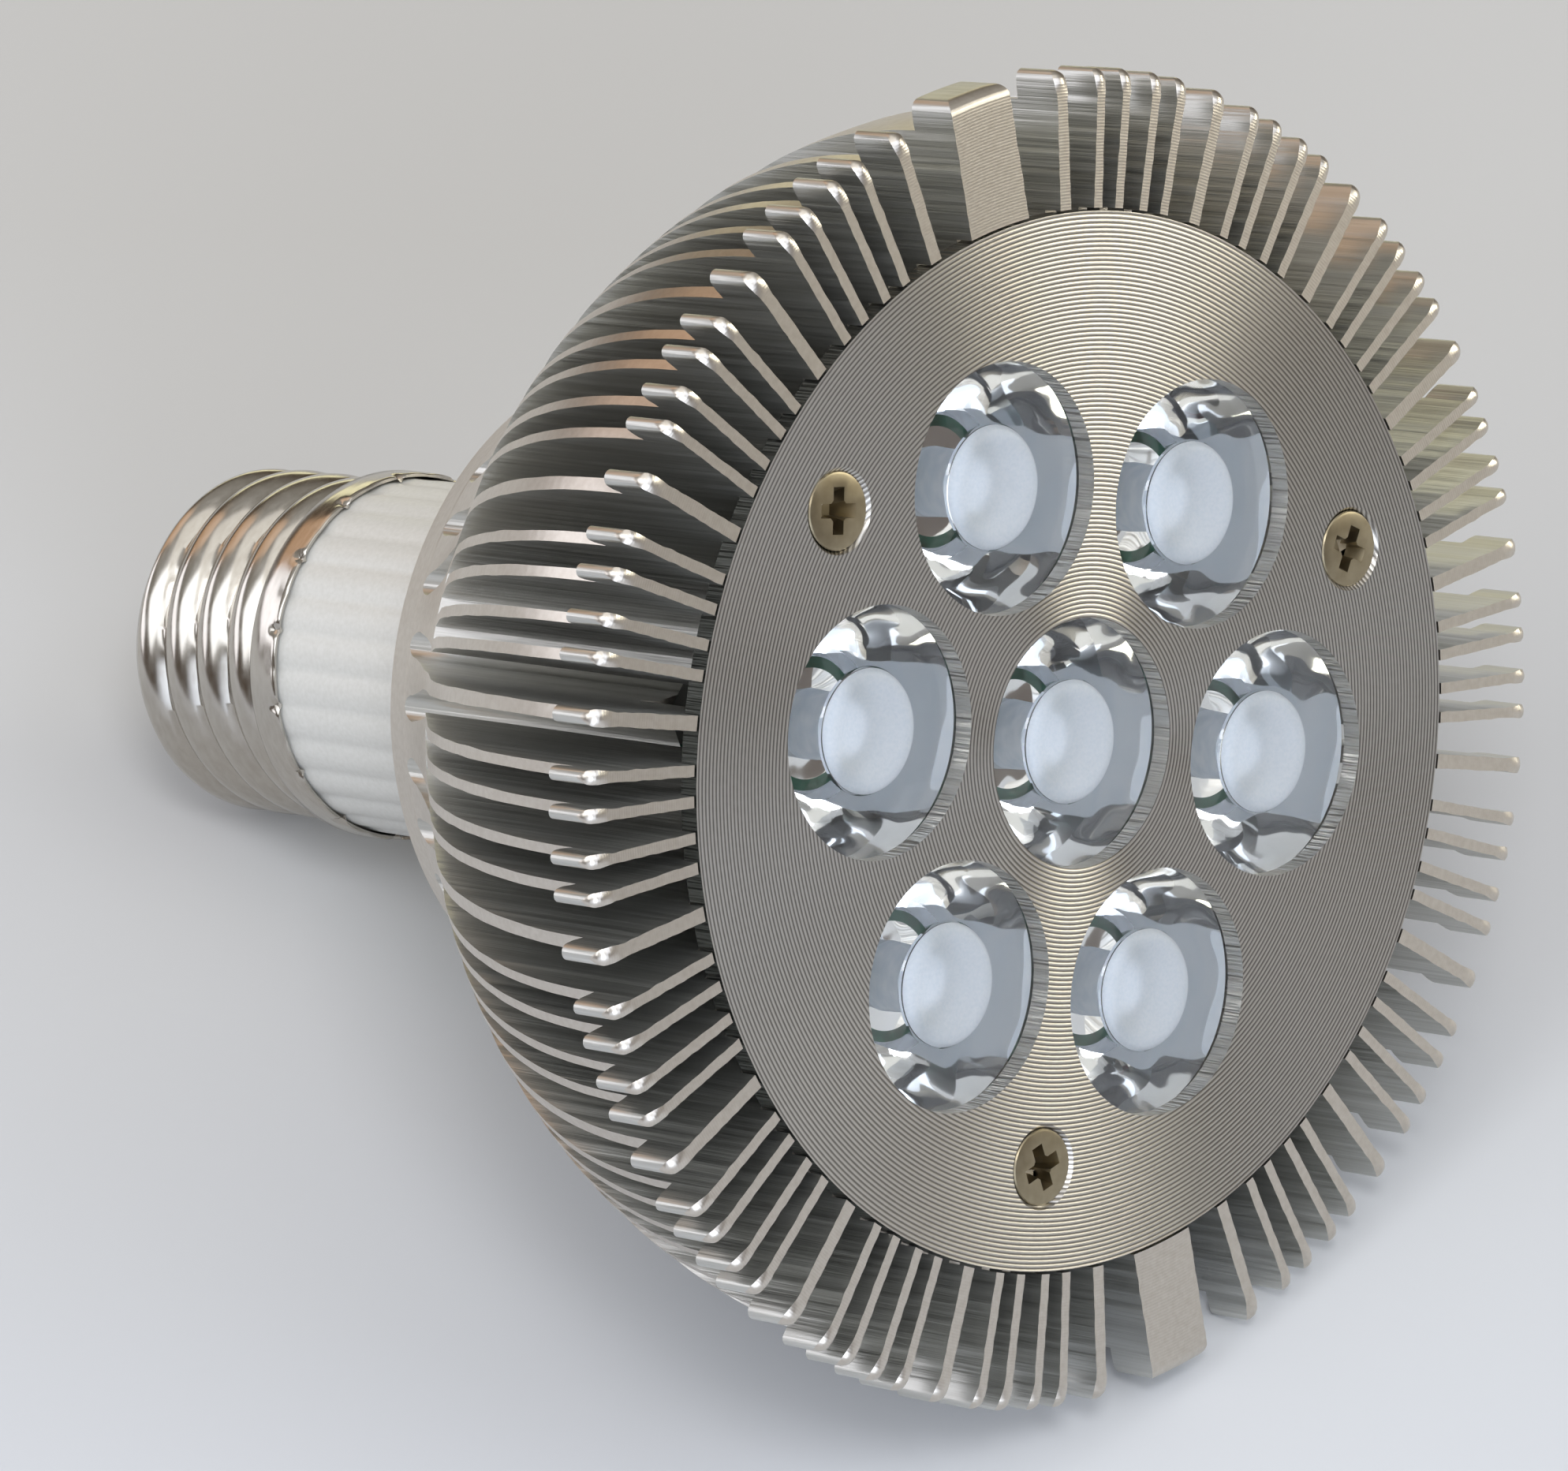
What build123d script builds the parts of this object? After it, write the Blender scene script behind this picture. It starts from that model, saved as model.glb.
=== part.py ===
"""PAR30 LED spotlight bulb with a finned heat sink and an E27 screw cap.

Millimetres. The bulb's axis is +Z: the centre contact's tip is the origin and the lit face is up.
"""

import math
import os

from build123d import *

# Overall
overall_length = 97.0
running_gap = 0.15
thread_gap = 0.05

# Heat sink: the outer form, turned on the extrusion
rim_diameter = 95.0
rim_land = 3.9
rim_chamfer = 1.0
rim_step = 2.1
curve_radius = 38.0
curve_angle = 41.0
curve_steps = 5
flare_radius = 39.0
flare_start_radius = 31.0
flare_steps = 4
hub_diameter = 50.8
sink_length = 46.3

# Heat sink: the extrusion's section, as half widths at radii
sector_count = 18
block_sectors = (5, 14)
stem_root = 1.55
stem_foot_rise = 0.75
stem_foot = 1.2
fin_waist_radius = 28.5
fin_waist = 0.62
fin_tip = 0.55
branch_radius = 31.5
crown = 3.2
block = 2.9
thin_fin = 0.4
thin_fin_angles = (-5.1, -1.9, 1.9, 5.1)
stem_embed = 1.0
hub_foot_rise = 0.15
section_overrun = 2.0

# Front plate, lenses and light engine
plate_diameter = 75.0
plate_thickness = 1.5
plate_rim_gap = 0.2
lens_circle_radius = 20.14
lens_hole_diameter = 17.8
ring_count = 6
lens_diameter = 19.8
lens_rim_height = 1.2
lens_base_diameter = 9.4
lens_height = 10.4
lens_side_gap = 0.4
led_board_thickness = 1.6
led_board_radius = 27.5
led_base_size = 3.5
led_base_height = 0.8
led_tile_size = 2.4
led_tile_height = 0.5
led_pocket_gap = 0.3

# Plate screws
screw_circle_radius = 30.08
screw_count = 3
screw_first_angle = 30.0
screw_head_diameter = 5.8
screw_diameter = 3.0
screw_length = 19.0
cross_length = 3.2
cross_width = 0.8
cross_depth = 1.0

# Neck housing and its screws
sink_web = 6.0
neck_diameter = 27.0
neck_wall = 2.0
collar_diameter = 28.0
collar_height = 3.0
spigot_length = 11.0
boss_diameter = 5.0
boss_height = 9.0
boss_offset = 9.4
housing_screw_diameter = 2.4
housing_screw_head = 4.6
housing_screw_head_height = 1.6
housing_screw_bite = 7.0

# Screw cap
cap_height = 26.4
cap_skirt_height = 2.8
cap_step_height = 0.6
cap_sheet = 0.35
cap_thread_diameter = 26.4
cap_shoulder_z = 9.6
cap_lip_z = 6.4
cap_lip_diameter = 17.0
insulator_top_z = 8.4
insulator_flange_diameter = 18.2
insulator_foot_z = 2.0
insulator_foot_diameter = 10.4
contact_diameter = 9.4
contact_tip_diameter = 7.0
contact_bevel = 1.0

# Driver
driver_board_thickness = 1.6
driver_board_gap = 0.2
driver_board_foot_gap = 0.4
driver_board_head_gap = 2.8
lead_diameter = 1.2
led_lead_spread = 7.0
led_lead_overlap = 6.0
led_lead_tail = 0.9
neutral_lead_offset = 10.0
transformer_size = (13.0, 8.2, 12.0)
winding_size = (9.0, 8.8, 8.0)
film_capacitor_size = (12.0, 5.5, 9.0)
rectifier_size = (8.4, 2.6, 6.4)
chip_size = (4.0, 1.5, 5.0)
filter_capacitor_diameter = 8.0
filter_capacitor_length = 14.0
fuse_diameter = 3.4
fuse_length = 8.0

# Driver: each part's middle, as a share of the board's length from its lower end
transformer_share = 0.63
film_capacitor_share = 0.345
rectifier_share = 0.27
chip_share = 0.87
filter_capacitor_share = 0.59
fuse_share = 0.11

# Places worked out from the sizes above
face_z = overall_length
sink_rear_z = face_z - sink_length
rim_radius = rim_diameter / 2
past_rim = rim_radius + section_overrun
hub_radius = hub_diameter / 2
sector_angle = 360 / sector_count
plate_radius = plate_diameter / 2
plate_back_z = face_z - plate_thickness
ledge_radius = plate_radius + plate_rim_gap
lens_hole_radius = lens_hole_diameter / 2
lens_radius = lens_diameter / 2
lens_base_radius = lens_base_diameter / 2
led_board_top_z = plate_back_z - lens_height
pocket_floor_z = led_board_top_z - led_board_thickness
pocket_radius = lens_circle_radius + lens_radius + lens_side_gap
led_height = led_base_height + led_tile_height
screw_radius = screw_diameter / 2
screw_head_radius = screw_head_diameter / 2
neck_radius = neck_diameter / 2
neck_inner_radius = neck_radius - neck_wall
bore_radius = neck_radius + running_gap
bore_end_z = pocket_floor_z - sink_web
housing_top_z = bore_end_z - running_gap
housing_screw_radius = housing_screw_diameter / 2
shell_radius = cap_thread_diameter / 2
shell_inner_radius = shell_radius - cap_sheet
skirt_inner_radius = neck_radius + running_gap
skirt_z = cap_height - cap_skirt_height
lip_radius = cap_lip_diameter / 2
spigot_radius = shell_inner_radius - running_gap
neck_end_z = skirt_z + cap_sheet + running_gap
board_half = driver_board_thickness / 2
driver_board_z = neck_end_z + driver_board_foot_gap
driver_board_top_z = housing_top_z - driver_board_head_gap
driver_board_length = driver_board_top_z - driver_board_z
board_half_width = math.sqrt(neck_inner_radius**2 - board_half**2) - driver_board_gap
lead_radius = lead_diameter / 2
lead_hole_radius = lead_radius + running_gap
led_lead_y = board_half + lead_radius

os.makedirs("parts", exist_ok=True)


def export(piece, name):
    piece.part.label = name
    export_step(piece.part, f"parts/{name}.step")


def turned(*points):
    """Solid turned about +Z from an outline of (radius, height) points."""
    with BuildPart() as piece:
        with BuildSketch(Plane.XZ):
            with BuildLine():
                Polyline(*points, close=True)
            make_face()
        revolve(axis=Axis.Z)
    return piece.part


def polar(radius, angle):
    a = math.radians(angle)
    return (radius * math.cos(a), radius * math.sin(a))


# Heat sink: every rib is its section cut to the turned side outline
turn = math.radians(curve_angle)
curve = []
for step in range(curve_steps + 1):
    angle = turn * step / curve_steps
    radius = rim_radius - rim_step - curve_radius * (1 - math.cos(angle))
    curve.append((radius, face_z - rim_land - curve_radius * math.sin(angle)))
flare_start_z = curve[-1][1] - (curve[-1][0] - flare_start_radius) / math.tan(turn)


def flare_point(slope):
    radius = flare_start_radius - flare_radius * (math.cos(slope) - math.cos(turn))
    return (radius, flare_start_z - flare_radius * (math.sin(turn) - math.sin(slope)))


# Below the cone the outline flares in to the rear edge; the channels run out where it meets the hub
rear_slope = math.asin(math.sin(turn) - (flare_start_z - sink_rear_z) / flare_radius)
hub_slope = math.acos(math.cos(turn) + (flare_start_radius - hub_radius) / flare_radius)
hub_slope = max(hub_slope, rear_slope)
hub_foot_z = flare_point(hub_slope)[1]
flare = [
    flare_point(turn + (hub_slope - turn) * step / flare_steps) for step in range(flare_steps + 1)
]
rib_side = [
    (hub_radius - stem_embed, pocket_floor_z),
    (pocket_radius, pocket_floor_z),
    (pocket_radius, plate_back_z),
    (ledge_radius, plate_back_z),
    (ledge_radius, face_z),
    (rim_radius - rim_chamfer, face_z),
    (rim_radius, face_z - rim_chamfer),
    (rim_radius, face_z - rim_land),
    *curve,
    *flare,
    (hub_radius - stem_embed, hub_foot_z + stem_embed),
]
stem = [
    (hub_radius - stem_embed, stem_root),
    (hub_radius, stem_root),
    (hub_radius + stem_foot_rise, stem_foot),
]


def rib(half_section):
    """Rib along +X from its half section of (radius, half width) points."""
    mirrored = [(radius, -half) for radius, half in reversed(half_section)]
    with BuildPart() as piece:
        with BuildSketch(Plane.XY.offset(sink_rear_z)):
            with BuildLine():
                Polyline(*half_section, *mirrored, close=True)
            make_face()
        extrude(amount=sink_length)
        with BuildSketch(Plane.XZ):
            with BuildLine():
                Polyline(*rib_side, close=True)
            make_face()
        extrude(amount=rim_radius, both=True, mode=Mode.INTERSECT)
    return piece.part


thick_rib = rib([*stem, (fin_waist_radius, fin_waist), (past_rim, fin_tip)])
block_rib = rib([*stem, (branch_radius, block), (past_rim, block)])
crown_rib = rib([*stem, (branch_radius, crown)])
thin_rib = rib([(branch_radius - stem_embed, thin_fin), (past_rim, thin_fin)])
block_places = []
crown_places = []
thin_places = []
for sector in range(sector_count):
    middle = (sector + 0.5) * sector_angle
    if sector in block_sectors:
        block_places.append(Rotation(0, 0, middle))
    else:
        crown_places.append(Rotation(0, 0, middle))
        thin_places += [Rotation(0, 0, middle + angle) for angle in thin_fin_angles]

rear_point = flare_point(rear_slope)
hub_ring = [
    (0, sink_rear_z),
    (min(rear_point[0], hub_radius), sink_rear_z),
    (hub_radius, hub_foot_z + hub_foot_rise),
    (hub_radius, pocket_floor_z),
    (0, pocket_floor_z),
]

with BuildPart() as heat_sink:
    add(turned(*hub_ring))
    with PolarLocations(0, sector_count):
        add(thick_rib)
    with Locations(*block_places):
        add(block_rib)
    with Locations(*crown_places):
        add(crown_rib)
    with Locations(*thin_places):
        add(thin_rib)
    with Locations((0, 0, sink_rear_z)):
        Cylinder(
            bore_radius,
            bore_end_z - sink_rear_z,
            align=(Align.CENTER, Align.CENTER, Align.MIN),
            mode=Mode.SUBTRACT,
        )
    with Locations((0, 0, pocket_floor_z)):
        with Locations((led_lead_spread, led_lead_y), (-led_lead_spread, led_lead_y)):
            Hole(lead_hole_radius, depth=sink_web)
        with Locations((0, boss_offset), (0, -boss_offset)):
            CounterBoreHole(
                housing_screw_radius + running_gap,
                housing_screw_head / 2 + running_gap,
                housing_screw_head_height + running_gap,
                depth=sink_web,
            )
    with Locations((0, 0, plate_back_z)):
        with PolarLocations(screw_circle_radius, screw_count, screw_first_angle):
            Hole(screw_radius + thread_gap, depth=screw_length)
export(heat_sink, "heat_sink")

# Front plate: seven lens windows and three countersunk screw holes
with BuildPart() as front_plate:
    with BuildSketch(Plane.XY.offset(plate_back_z)):
        Circle(plate_radius)
        Circle(lens_hole_radius, mode=Mode.SUBTRACT)
        with PolarLocations(lens_circle_radius, ring_count):
            Circle(lens_hole_radius, mode=Mode.SUBTRACT)
    extrude(amount=plate_thickness)
    with Locations((0, 0, face_z)):
        with PolarLocations(screw_circle_radius, screw_count, screw_first_angle):
            CounterSinkHole(
                screw_radius + running_gap,
                screw_head_radius + running_gap,
                depth=plate_thickness,
                counter_sink_angle=90,
            )
export(front_plate, "front_plate")

# Plate screws: countersunk, cross recessed, long enough to reach the pocket floor
screw_blank = turned(
    (0, face_z),
    (screw_head_radius, face_z),
    (screw_radius, face_z - screw_head_radius + screw_radius),
    (screw_radius, face_z - screw_length),
    (0, face_z - screw_length),
)
with BuildPart() as plate_screws:
    with PolarLocations(screw_circle_radius, screw_count, screw_first_angle):
        add(screw_blank)
    with Locations((0, 0, face_z)):
        with PolarLocations(screw_circle_radius, screw_count, screw_first_angle):
            Box(cross_length, cross_width, 2 * cross_depth, mode=Mode.SUBTRACT)
            Box(cross_width, cross_length, 2 * cross_depth, mode=Mode.SUBTRACT)
export(plate_screws, "plate_screws")

# Lenses: clear collimators under the plate, each over its own LED on the board
lens_blank = turned(
    (0, led_board_top_z),
    (lens_base_radius, led_board_top_z),
    (lens_radius, plate_back_z - lens_rim_height),
    (lens_radius, plate_back_z),
    (0, plate_back_z),
)
lens_centres = [(0.0, 0.0)]
for place in range(ring_count):
    lens_centres.append(polar(lens_circle_radius, place * 360 / ring_count))
for number, (x, y) in enumerate(lens_centres, start=1):
    with BuildPart() as lens:
        with Locations((x, y, 0)):
            add(lens_blank)
        with Locations((x, y, led_board_top_z)):
            Box(
                led_base_size + 2 * led_pocket_gap,
                led_base_size + 2 * led_pocket_gap,
                2 * (led_height + led_pocket_gap),
                mode=Mode.SUBTRACT,
            )
    export(lens, f"lens_{number}")
    with BuildPart() as led:
        with BuildSketch(Plane.XY.offset(led_board_top_z)):
            with Locations((x, y)):
                Rectangle(led_base_size, led_base_size)
        extrude(amount=led_base_height)
        with BuildSketch(Plane.XY.offset(led_board_top_z + led_base_height)):
            with Locations((x, y)):
                Rectangle(led_tile_size, led_tile_size)
        extrude(amount=led_tile_height)
    export(led, f"led_{number}")

# LED board: a hexagonal metal-core board with two slots for its leads
with BuildPart() as led_board:
    with BuildSketch(Plane.XY.offset(pocket_floor_z)):
        RegularPolygon(led_board_radius, ring_count)
        with Locations((led_lead_spread, led_lead_y), (-led_lead_spread, led_lead_y)):
            Rectangle(2 * lead_hole_radius, 2 * lead_hole_radius, mode=Mode.SUBTRACT)
    extrude(amount=led_board_thickness)
export(led_board, "led_board")

# Neck housing: a tube from the heat sink's bore to the inside of the cap
with BuildPart() as neck_housing:
    add(
        turned(
            (neck_inner_radius, housing_top_z),
            (neck_radius, housing_top_z),
            (neck_radius, sink_rear_z),
            (collar_diameter / 2, sink_rear_z),
            (collar_diameter / 2, sink_rear_z - collar_height),
            (neck_radius, sink_rear_z - collar_height),
            (neck_radius, neck_end_z),
            (spigot_radius, neck_end_z),
            (spigot_radius, neck_end_z - spigot_length),
            (neck_inner_radius, neck_end_z - spigot_length),
        )
    )
    with Locations((0, boss_offset, housing_top_z), (0, -boss_offset, housing_top_z)):
        Cylinder(
            boss_diameter / 2,
            boss_height,
            align=(Align.CENTER, Align.CENTER, Align.MAX),
        )
        Cylinder(
            housing_screw_radius + thread_gap,
            boss_height,
            align=(Align.CENTER, Align.CENTER, Align.MAX),
            mode=Mode.SUBTRACT,
        )
export(neck_housing, "neck_housing")

# Housing screws: pan heads sunk under the LED board
head_seat_z = pocket_floor_z - housing_screw_head_height - running_gap
housing_screw = turned(
    (0, head_seat_z + housing_screw_head_height),
    (housing_screw_head / 2, head_seat_z + housing_screw_head_height),
    (housing_screw_head / 2, head_seat_z),
    (housing_screw_radius, head_seat_z),
    (housing_screw_radius, housing_top_z - housing_screw_bite),
    (0, housing_top_z - housing_screw_bite),
)
with BuildPart() as housing_screws:
    with Locations((0, boss_offset, 0), (0, -boss_offset, 0)):
        add(housing_screw)
export(housing_screws, "housing_screws")

# Screw cap: sheet shell at its thread's crest size, insulator and centre contact
with BuildPart() as cap_shell:
    add(
        turned(
            (skirt_inner_radius, cap_height),
            (skirt_inner_radius + cap_sheet, cap_height),
            (skirt_inner_radius + cap_sheet, skirt_z),
            (shell_radius, skirt_z - cap_step_height),
            (shell_radius, cap_shoulder_z),
            (lip_radius, cap_lip_z),
            (lip_radius, cap_lip_z + cap_sheet),
            (shell_inner_radius, cap_shoulder_z + cap_sheet),
            (shell_inner_radius, skirt_z - cap_step_height + cap_sheet),
            (skirt_inner_radius, skirt_z + cap_sheet),
        )
    )
export(cap_shell, "cap_shell")

insulator_neck_radius = lip_radius - running_gap
insulator_flange_radius = insulator_flange_diameter / 2
shoulder_slope = (cap_shoulder_z - cap_lip_z) / (shell_inner_radius - lip_radius)
flange_seat_z = cap_lip_z + cap_sheet + running_gap
flange_rise = shoulder_slope * (insulator_flange_radius - insulator_neck_radius)
with BuildPart() as cap_insulator:
    add(
        turned(
            (lead_hole_radius, insulator_foot_z),
            (insulator_foot_diameter / 2, insulator_foot_z),
            (insulator_neck_radius, cap_lip_z),
            (insulator_neck_radius, flange_seat_z),
            (insulator_flange_radius, flange_seat_z + flange_rise),
            (insulator_flange_radius, insulator_top_z),
            (lead_hole_radius, insulator_top_z),
        )
    )
export(cap_insulator, "cap_insulator")

with BuildPart() as cap_contact:
    add(
        turned(
            (0, 0),
            (contact_tip_diameter / 2, 0),
            (contact_diameter / 2, contact_bevel),
            (contact_diameter / 2, insulator_foot_z),
            (0, insulator_foot_z),
        )
    )
export(cap_contact, "cap_contact")

# Driver: the board stands on the axis with its parts on both sides
def board_z(share):
    return driver_board_z + share * driver_board_length


with BuildPart() as driver_board:
    with Locations((0, 0, driver_board_z)):
        Box(
            2 * board_half_width,
            driver_board_thickness,
            driver_board_length,
            align=(Align.CENTER, Align.CENTER, Align.MIN),
        )
export(driver_board, "driver_board")

with BuildPart() as transformer:
    with Locations((0, board_half, board_z(transformer_share))):
        Box(*transformer_size, align=(Align.CENTER, Align.MIN, Align.CENTER))
        Box(*winding_size, align=(Align.CENTER, Align.MIN, Align.CENTER))
export(transformer, "transformer")

with BuildPart() as film_capacitor:
    with Locations((0, board_half, board_z(film_capacitor_share))):
        Box(*film_capacitor_size, align=(Align.CENTER, Align.MIN, Align.CENTER))
export(film_capacitor, "film_capacitor")

with BuildPart() as rectifier:
    with Locations((0, -board_half, board_z(rectifier_share))):
        Box(*rectifier_size, align=(Align.CENTER, Align.MAX, Align.CENTER))
export(rectifier, "rectifier")

with BuildPart() as driver_chip:
    with Locations((0, -board_half, board_z(chip_share))):
        Box(*chip_size, align=(Align.CENTER, Align.MAX, Align.CENTER))
export(driver_chip, "driver_chip")

with BuildPart() as filter_capacitor:
    axis_y = -board_half - filter_capacitor_diameter / 2
    with Locations((0, axis_y, board_z(filter_capacitor_share))):
        Cylinder(filter_capacitor_diameter / 2, filter_capacitor_length)
export(filter_capacitor, "filter_capacitor")

with BuildPart() as fuse:
    with Locations((0, board_half + fuse_diameter / 2, board_z(fuse_share))):
        Cylinder(fuse_diameter / 2, fuse_length)
export(fuse, "fuse")

# Leads: straight wires from the driver to the LED board and to the cap
led_lead_low_z = driver_board_top_z - led_lead_overlap
led_lead_high_z = led_board_top_z + led_lead_tail
neutral_reach = neutral_lead_offset + lead_radius - lip_radius
neutral_low_z = flange_seat_z + shoulder_slope * neutral_reach
leads = {
    "led_lead_plus": (led_lead_spread, led_lead_y, led_lead_low_z, led_lead_high_z),
    "led_lead_minus": (-led_lead_spread, led_lead_y, led_lead_low_z, led_lead_high_z),
    "live_lead": (0, 0, insulator_foot_z, driver_board_z),
    "neutral_lead": (neutral_lead_offset, 0, neutral_low_z, driver_board_z),
}
for name, (x, y, low_z, high_z) in leads.items():
    with BuildPart() as lead:
        with Locations((x, y, low_z)):
            Cylinder(
                lead_radius,
                high_z - low_z,
                align=(Align.CENTER, Align.CENTER, Align.MIN),
            )
    export(lead, name)
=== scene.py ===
import math

import bpy
from mathutils import Matrix, Vector, noise


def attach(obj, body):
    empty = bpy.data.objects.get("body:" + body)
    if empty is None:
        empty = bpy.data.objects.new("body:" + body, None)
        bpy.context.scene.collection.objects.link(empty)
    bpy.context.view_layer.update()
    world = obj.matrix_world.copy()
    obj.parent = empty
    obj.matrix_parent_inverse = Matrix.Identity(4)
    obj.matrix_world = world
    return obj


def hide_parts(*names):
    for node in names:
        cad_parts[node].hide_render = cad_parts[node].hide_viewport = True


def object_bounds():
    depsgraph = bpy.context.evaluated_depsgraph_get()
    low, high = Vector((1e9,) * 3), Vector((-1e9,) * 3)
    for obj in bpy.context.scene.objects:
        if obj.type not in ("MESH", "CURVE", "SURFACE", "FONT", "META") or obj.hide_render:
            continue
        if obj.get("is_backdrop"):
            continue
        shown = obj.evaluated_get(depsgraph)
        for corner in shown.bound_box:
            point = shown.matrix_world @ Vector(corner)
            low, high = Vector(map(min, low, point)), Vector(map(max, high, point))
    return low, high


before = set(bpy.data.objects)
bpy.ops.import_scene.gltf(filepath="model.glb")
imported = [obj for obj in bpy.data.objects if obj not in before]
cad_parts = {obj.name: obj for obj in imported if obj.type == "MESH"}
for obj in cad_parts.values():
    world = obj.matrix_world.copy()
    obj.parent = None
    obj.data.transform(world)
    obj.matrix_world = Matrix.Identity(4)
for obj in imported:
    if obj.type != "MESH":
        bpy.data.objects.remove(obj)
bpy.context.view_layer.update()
mm = 0.001
ringPitch = 0.314159     # a wave texture of scale 1 draws its rings this far apart
print("frame loaded,", len(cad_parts), "nodes")


def linear(hexColour):
    channels = [int(hexColour[i:i + 2], 16) / 255 for i in (1, 3, 5)]
    return (*[c / 12.92 if c <= 0.04045 else ((c + 0.055) / 1.055) ** 2.4 for c in channels], 1.0)


def addNode(tree, kind, inputs=None, stops=None, **settings):
    made = tree.nodes.new(kind)
    for name, value in settings.items():
        setattr(made, name, value)
    for name, value in (inputs or {}).items():
        if isinstance(value, bpy.types.NodeSocket):
            tree.links.new(value, made.inputs[name])
        else:
            made.inputs[name].default_value = value
    if stops:
        ramp = made.color_ramp.elements
        while len(ramp) < len(stops):
            ramp.new(0.5)
        for element, (place, colour) in zip(ramp, stops):
            element.position = place
            element.color = linear(colour)
    return made


def newMaterial(name):
    material = bpy.data.materials.new(name)
    material.use_nodes = True
    material.node_tree.nodes.clear()
    return material, material.node_tree


def deselectAll():
    if bpy.context.mode != "OBJECT":
        bpy.ops.object.mode_set(mode="OBJECT")
    bpy.ops.object.select_all(action="DESELECT")


# Camera: where the photographer stood, found from the lens grid and the rim (millimetres)
photoCamera = {
    "place": (-478.89, 25.75, 554.19),
    "aim": (6.97, -2.635, 60.0),
    "up": (-0.03567, 0.99510, -0.09222),
    "lens": 215.92,
    "sensor": 36.0,
}


def lookAt(place, aim, up):
    back = (place - aim).normalized()
    right = up.cross(back).normalized()
    trueUp = back.cross(right)
    turn = Matrix((right, trueUp, back)).transposed().to_4x4()
    return Matrix.Translation(place) @ turn


cameraData = bpy.data.cameras.new("photoCamera")
cameraData.lens = photoCamera["lens"]
cameraData.sensor_width = photoCamera["sensor"]
cameraData.clip_start = 0.01
cameraData.clip_end = 20.0
camera = bpy.data.objects.new("photoCamera", cameraData)
bpy.context.scene.collection.objects.link(camera)
cameraPlace = Vector(photoCamera["place"]) * mm
camera.matrix_world = lookAt(cameraPlace, Vector(photoCamera["aim"]) * mm, Vector(photoCamera["up"]))
bpy.context.scene.camera = camera
bpy.context.scene.view_settings.view_transform = "Standard"
print("camera set")


# Table: the bulb lies on its rim and its cap, so the table's up leans against the bulb's axis
table = {
    "up": (-0.4711, 0.7953, 0.3815),
    "face": 97.0,     # height of the lit face on the bulb's axis
    "drop": 45.5,     # from the middle of that face down to the table
    "size": 900.0,
    # far and near are the two tints of the card's painted light falloff: dimmer and warmer away from the camera
    "far": "#BDBCB9",
    "near": "#D2D5DA",
    "fade": 0.12,     # the card's two tints meet within this many metres of the bulb
}
tableUp = Vector(table["up"]).normalized()
faceMiddle = Vector((0, 0, table["face"])) * mm
tableMiddle = faceMiddle - tableUp * table["drop"] * mm
toCamera = cameraPlace - faceMiddle
toCamera = (toCamera - tableUp * toCamera.dot(tableUp)).normalized()
toRight = tableUp.cross(toCamera)


# painted light: a ramp from the far tint to the near tint across the card
def paintedLightRamp(tree, axis):
    place = addNode(tree, "ShaderNodeTexCoord")
    along = addNode(tree, "ShaderNodeSeparateXYZ", {"Vector": place.outputs["Object"]})
    share = addNode(tree, "ShaderNodeMapRange", {
        "Value": along.outputs[axis], "From Min": -table["fade"], "From Max": table["fade"]})
    return addNode(tree, "ShaderNodeValToRGB", {"Fac": share.outputs["Result"]},
                   stops=[(0.0, table["far"]), (1.0, table["near"])])


# Matt white card under the bulb, painted lighter and bluer towards the camera as a painted light falloff; its
# underside lets other views look through
tableCard, tree = newMaterial("mattCard")
paintedLightTint = paintedLightRamp(tree, "Y")
card = addNode(tree, "ShaderNodeBsdfDiffuse", {"Color": paintedLightTint.outputs["Color"], "Roughness": 0.6})
clear = addNode(tree, "ShaderNodeBsdfTransparent")
side = addNode(tree, "ShaderNodeNewGeometry")
both = addNode(tree, "ShaderNodeMixShader", {
    0: side.outputs["Backfacing"], 1: card.outputs[0], 2: clear.outputs[0]})
addNode(tree, "ShaderNodeOutputMaterial", {"Surface": both.outputs[0]})

deselectAll()
bpy.ops.mesh.primitive_plane_add(size=table["size"] * mm)
floor = bpy.context.active_object
floor.name = "tableCard"
tableTurn = Matrix((toRight, -toCamera, tableUp)).transposed().to_4x4()
floor.matrix_world = (Matrix.Translation(tableMiddle) @ tableTurn
                      @ Matrix.Scale(-1, 4, (0, 1, 0)) @ Matrix.Scale(-1, 4, (1, 0, 0)))
floor.data.materials.append(tableCard)
floor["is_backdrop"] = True
print("table set")


# Studio light: places are (right, towards the camera, up) from the lit face, in metres; power in watts
studio = {
    "overhead": {"place": (0.08, 0.00, 1.00), "size": (1.00, 1.00), "power": 2.15, "colour": "#FFFDF8"},
    "key": {"place": (0.05, 0.56, 0.82), "size": (0.25, 0.25), "power": 2.5, "colour": "#FAFBFF"},
    "frontSoft": {"place": (0.59, 0.23, 0.64), "size": (0.60, 0.60), "power": 2.0, "colour": "#E2ECFF"},
    "leftWindow": {"place": (-0.88, -0.12, 0.15), "size": (0.84, 0.28), "power": 1.5, "colour": "#F6F7FF"},
    "leftFill": {"place": (-0.55, 0.45, 0.70), "size": (0.70, 0.70), "power": 3.3, "colour": "#F4F8FF"},
    "rightGlow": {"place": (0.84, -0.26, 0.21), "size": (0.35, 0.35), "power": 2.2, "colour": "#FFFBEA"},
    "backLamp": {"place": (-0.13, -0.88, 0.02), "size": (0.50, 0.12), "power": 0.35, "colour": "#F3EFC8"},
    "warmCard": {"place": (-0.60, -0.58, 0.48), "size": (0.40, 0.80), "power": 0.60, "colour": "#FFCDA2"},
    "lensLamp": {"place": (0.23, 0.83, 0.28), "size": (0.40, 0.40), "power": 1.7, "colour": "#E0EBFF"},
}
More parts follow.
